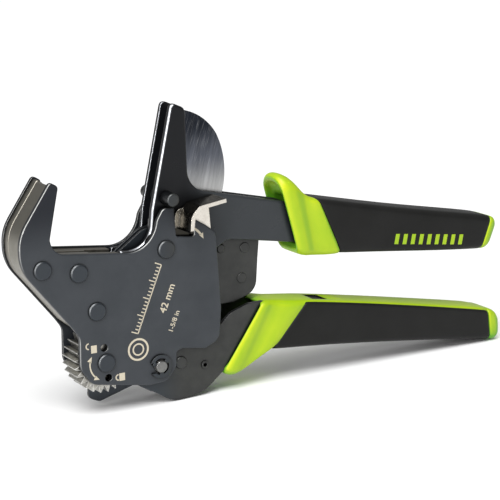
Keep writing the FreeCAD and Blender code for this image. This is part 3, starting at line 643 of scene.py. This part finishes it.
def lower_grip():
    """Shell, which is a ridged collar with a top strip running back from it, cover and end cap."""
    green, black = MATERIALS["green_grip"], MATERIALS["black_grip"]
    shell = loft("lower_shell", [
        ((47.4, -30.2), (31.4, -49.4), 6.8, 1.2, 1.2),
        ((44.8, -29.6), (28.2, -50.6), 7.0, 1.4, 1.4),
        ((42.8, -28.7), (25.8, -52.0), 7.4, 1.8, 1.8),
        ((42.6, -27.8), (24.8, -53.7), 8.1, 2.4, 2.4),
        ((43.9, -27.2), (26.2, -55.6), 8.8, 3.0, 3.2),
        ((46.2, -27.2), (29.4, -56.4), 8.75, 3.0, 3.4),
        ((48.6, -27.7), (32.4, -55.9), 8.0, 3.0, 3.4),
        ((51.4, -28.2), (35.6, -54.4), 7.95, 3.0, 3.2),
        ((56.5, -29.0), (40.6, -51.0), 8.7, 3.0, 2.8),
        ((62.0, -29.7), (46.2, -48.3), 8.75, 3.0, 2.4),
        ((62.6, -29.8), (46.8, -47.9), 8.3, 2.8, 2.2),
        ((64.0, -29.9), (66.0, -38.0), 8.2, 2.2, 2.0),
        ((84.3, -33.3), (85.0, -42.0), 8.2, 2.2, 2.0),
        ((108.0, -37.7), (108.0, -46.0), 8.2, 2.2, 2.0),
        ((132.0, -42.3), (132.0, -50.0), 8.2, 2.2, 2.0),
        ((156.0, -46.9), (156.0, -54.8), 8.2, 2.2, 2.0),
        ((160.0, -48.6), (160.0, -55.6), 7.6, 2.2, 2.0),
    ], green)
    carve(shell, at(68.7, -4.6, -34.6), at(75.7, 3.6, -29.0), black)
    stand_for(shell, "lower_handle", "lower_grip_shell")
    cover = loft("lower_cover", [
        ((63.2, -31.0), (47.4, -47.7), 8.2, 2.0, 2.0),
        ((63.2, -30.6), (47.4, -48.0), 8.6, 1.4, 2.0),
        ((64.6, -30.6), (49.0, -48.3), 8.75, 1.2, 2.0),
        ((84.3, -33.9), (74.0, -50.4), 8.75, 1.2, 2.0),
        ((108.0, -38.3), (104.8, -54.1), 8.75, 1.2, 2.0),
        ((132.0, -43.0), (132.0, -57.6), 8.75, 1.2, 2.2),
        ((154.6, -47.6), (156.0, -61.4), 8.75, 1.2, 2.8),
        ((156.0, -48.2), (157.4, -61.6), 8.6, 1.4, 3.0),
        ((156.4, -48.8), (157.8, -61.2), 8.1, 1.6, 2.8),
    ], black)
    stand_for(cover, "lower_handle", "lower_grip_cover")
    cap = loft("lower_end_cap", [
        ((156.0, -47.8), (157.4, -61.2), 8.1, 2.8, 2.8),
        ((156.4, -47.4), (157.8, -61.7), 8.6, 3.0, 3.0),
        ((158.6, -47.9), (160.0, -62.0), 8.7, 3.0, 3.0),
        ((161.2, -49.4), (162.0, -61.4), 8.4, 3.2, 3.2),
        ((162.6, -51.6), (162.9, -59.4), 7.2, 3.0, 3.0),
        ((162.9, -54.0), (163.0, -57.0), 4.8, 1.4, 1.4),
    ], green)
    stand_for(cap, "lower_handle", "lower_grip_end_cap")


# ---------------------------------------------------------------- printed marks

def flat_mark(name, outlines, y, material=None, thickness=0.02):
    """A thin figure on a face that looks towards -Y; outlines are X, Z polygons."""
    mesh = bmesh.new()
    for outline in outlines:
        front = [mesh.verts.new(at(x, y - thickness, z)) for x, z in outline]
        back = [mesh.verts.new(at(x, y + thickness, z)) for x, z in outline]
        mesh.faces.new(front)
        mesh.faces.new(list(reversed(back)))
        for index in range(len(front)):
            after = (index + 1) % len(front)
            mesh.faces.new((front[after], front[index], back[index], back[after]))
    bmesh.ops.recalc_face_normals(mesh, faces=mesh.faces)
    piece = add_piece(name, mesh, material or INK, smooth=False)
    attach(piece, "frame")


def round_point(centre, radius, turn):
    return centre[0] + radius * math.cos(turn), centre[1] + radius * math.sin(turn)


def band(centre, radius, width, start, end, steps=24):
    """Quads of an arc stroke, as X, Z outlines."""
    inner, outer = radius - width / 2, radius + width / 2
    quads = []
    for step in range(steps):
        first, last = (math.radians(start + (end - start) * (step + more) / steps) for more in (0, 1))
        corners = ((inner, first), (outer, first), (outer, last), (inner, last))
        quads.append([round_point(centre, length, turn) for length, turn in corners])
    return quads


def arrow_head(tip, direction):
    length, width = 2.3, 1.9
    aim = Vector(direction).normalized()
    side = Vector((-aim.y, aim.x))
    base = Vector(tip) - aim * length
    return [tuple(tip), tuple(base + side * width / 2), tuple(base - side * width / 2)]


def rectangle(centre, width, height, turn=0.0):
    angle = math.radians(turn)
    across = Vector((math.cos(angle), math.sin(angle)))
    up = Vector((-across.y, across.x))
    middle = Vector(centre)
    corners = ((-1, -1), (1, -1), (1, 1), (-1, 1))
    return [tuple(middle + across * (a * width / 2) + up * (b * height / 2)) for a, b in corners]


def padlock(body, shackle):
    """A lock lying on its side, its shackle towards -X."""
    bow = band(shackle, radius=1.1, width=0.5, start=90, end=270, steps=12)
    return [rectangle(body, width=2.4, height=3.0)] + bow


def curved_arrow(centre, radius, start, end, width, both_ways):
    """An arc stroke with an arrow head past its end, or past both ends."""
    head_reach = math.radians(119)
    shapes = band(centre, radius, width, start, end)
    sense = 1 if end > start else -1
    heads = [(end, sense), (start, -sense)] if both_ways else [(end, sense)]
    for angle, way in heads:
        turn = math.radians(angle) + way * head_reach / radius
        direction = (-way * math.sin(turn), way * math.cos(turn))
        shapes.append(arrow_head(round_point(centre, radius, turn), direction))
    return shapes


def tick_scale(start, turn, length, count):
    """A plain graduated scale: a base line and ticks, every fifth one long."""
    line, stroke, long_tick, short_tick = 0.45, 0.42, 3.0, 1.7
    angle = math.radians(turn)
    along = Vector((math.cos(angle), math.sin(angle)))
    up = Vector((-along.y, along.x))
    shapes = [rectangle(Vector(start) + along * length / 2, length, line, turn)]
    for tick in range(count + 1):
        height = long_tick if tick % 5 == 0 else short_tick
        foot = Vector(start) + along * (length * tick / count)
        shapes.append(rectangle(foot + up * height / 2, stroke, height, turn))
    return shapes


def plate_marks():
    """Neutral printed marks: lock symbols, turning arrows, a scale and a pipe section."""
    y = PLATE_FACE_Y
    flat_mark("mark_open_lock", padlock((-32.0, -34.8), (-34.1, -33.4)), y)
    flat_mark("mark_closed_lock", padlock((-20.6, -47.6), (-22.1, -47.6)), y)
    wheel_arrow = curved_arrow(WHEEL_AT, radius=6.9, start=168, end=226, width=0.55, both_ways=True)
    flat_mark("mark_wheel_arrow", wheel_arrow, y)
    release_arrow = curved_arrow(RELEASE_ARC_AT, radius=10.9, start=64, end=36, width=0.9, both_ways=False)
    flat_mark("mark_release_arrow", release_arrow, y)
    flat_mark("mark_scale", tick_scale(SCALE_START, TEXT_TURN, SCALE_LENGTH, SCALE_TICKS), y)
    wall = band(ICON_AT, radius=4.1, width=0.8, start=0, end=360, steps=48)
    bore = band(ICON_AT, radius=2.2, width=0.6, start=0, end=360, steps=32)
    flat_mark("mark_pipe_section", wall + bore, y)
    text_mark("mark_size_metric", "42 mm", (-1.2, -25.4), size=4.2, weight=0.06)
    text_mark("mark_size_inch", "1-5/8 in", (1.6, -33.6), size=2.9, weight=0.03)


def grip_bars():
    """A row of slanted raised bars on the near side of the upper grip."""
    count, pitch, drop = 9, 4.1, 0.55
    width, lean = 2.0, 0.9
    bars = []
    for bar in range(count):
        x, z = 106.5 + bar * pitch, -9.9 - bar * drop
        low = [(x, z - 2.1), (x + width, z - 2.3)]
        high = [(x + width + lean, z + 2.0), (x + lean, z + 2.2)]
        bars.append(low + high)
    flat_mark("grip_bars", bars, GRIP_FACE_Y, MATERIALS["green_grip"], thickness=0.08)


def text_mark(name, words, corner, size, weight):
    """Neutral lettering for a capacity mark, turned to read up the plate."""
    curve = bpy.data.curves.new(name, "FONT")
    curve.body = words
    curve.size = size * MM
    curve.offset = weight * MM
    curve.extrude = 0.02 * MM
    source = bpy.data.objects.new(f"{name}_source", curve)
    link(source)
    data = evaluated_mesh(source)
    bpy.data.objects.remove(source)
    spin = Matrix.Rotation(math.radians(-TEXT_TURN), 4, "Y") @ Matrix.Rotation(math.radians(90), 4, "X")
    data.transform(Matrix.Translation(at(corner[0], PLATE_FACE_Y, corner[1])) @ spin)
    data.materials.clear()
    data.materials.append(INK)
    piece = bpy.data.objects.new(name, data)
    link(piece)
    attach(piece, "frame")


# ---------------------------------------------------------------- stage

def looking(place, aim):
    """A matrix that stands at a place and looks down its own -Z at an aim."""
    return Matrix.Translation(place) @ (aim - place).to_track_quat("-Z", "Y").to_matrix().to_4x4()


def camera():
    data = bpy.data.cameras.new("camera")
    data.lens = LENS
    data.sensor_width = 36.0
    data.clip_start = 0.01
    view = bpy.data.objects.new("camera", data)
    link(view)
    roll = Matrix.Rotation(math.radians(-CAMERA_ROLL), 4, "Z")
    view.matrix_world = looking(CAMERA_AT, CAMERA_AIM) @ roll
    bpy.context.scene.camera = view


def sun_light(name, direction, strength, softness):
    data = bpy.data.lights.new(name, "SUN")
    data.energy = strength
    data.angle = math.radians(softness)
    light = bpy.data.objects.new(name, data)
    link(light)
    light.matrix_world = Vector(direction).to_track_quat("Z", "Y").to_matrix().to_4x4()


def area_light(name, place, aim, width, height, power):
    data = bpy.data.lights.new(name, "AREA")
    data.shape = "RECTANGLE"
    data.size = width
    data.size_y = height
    data.energy = power
    light = bpy.data.objects.new(name, data)
    link(light)
    light.matrix_world = looking(Vector(place), Vector(aim))


def studio():
    """Pale floor just under the tool, an even sky, a soft overhead light and a strip from the left."""
    mesh = bmesh.new()
    bmesh.ops.create_grid(mesh, x_segments=1, y_segments=1, size=FLOOR_HALF)
    floor = add_piece("floor", mesh, floor_finish())
    floor.location.z = cad_box[0][2] - FLOOR_GAP
    world = bpy.data.worlds.new("world")
    world.use_nodes = True
    sky = world.node_tree.nodes["Background"].inputs
    sky["Color"].default_value = (1.0, 1.0, 1.0, 1)
    sky["Strength"].default_value = SKY_STRENGTH
    bpy.context.scene.world = world
    bpy.context.scene.view_settings.view_transform = "Standard"
    sun_light("overhead", (-0.35, -0.45, 1.0), strength=2.7, softness=40)
    area_light("left_strip", (-0.75, -0.42, 0.24), LIGHT_AIM, width=0.10, height=0.7, power=5.0)


finish_cad()
upper_grip()
lower_grip()
plate_marks()
grip_bars()
camera()
studio()
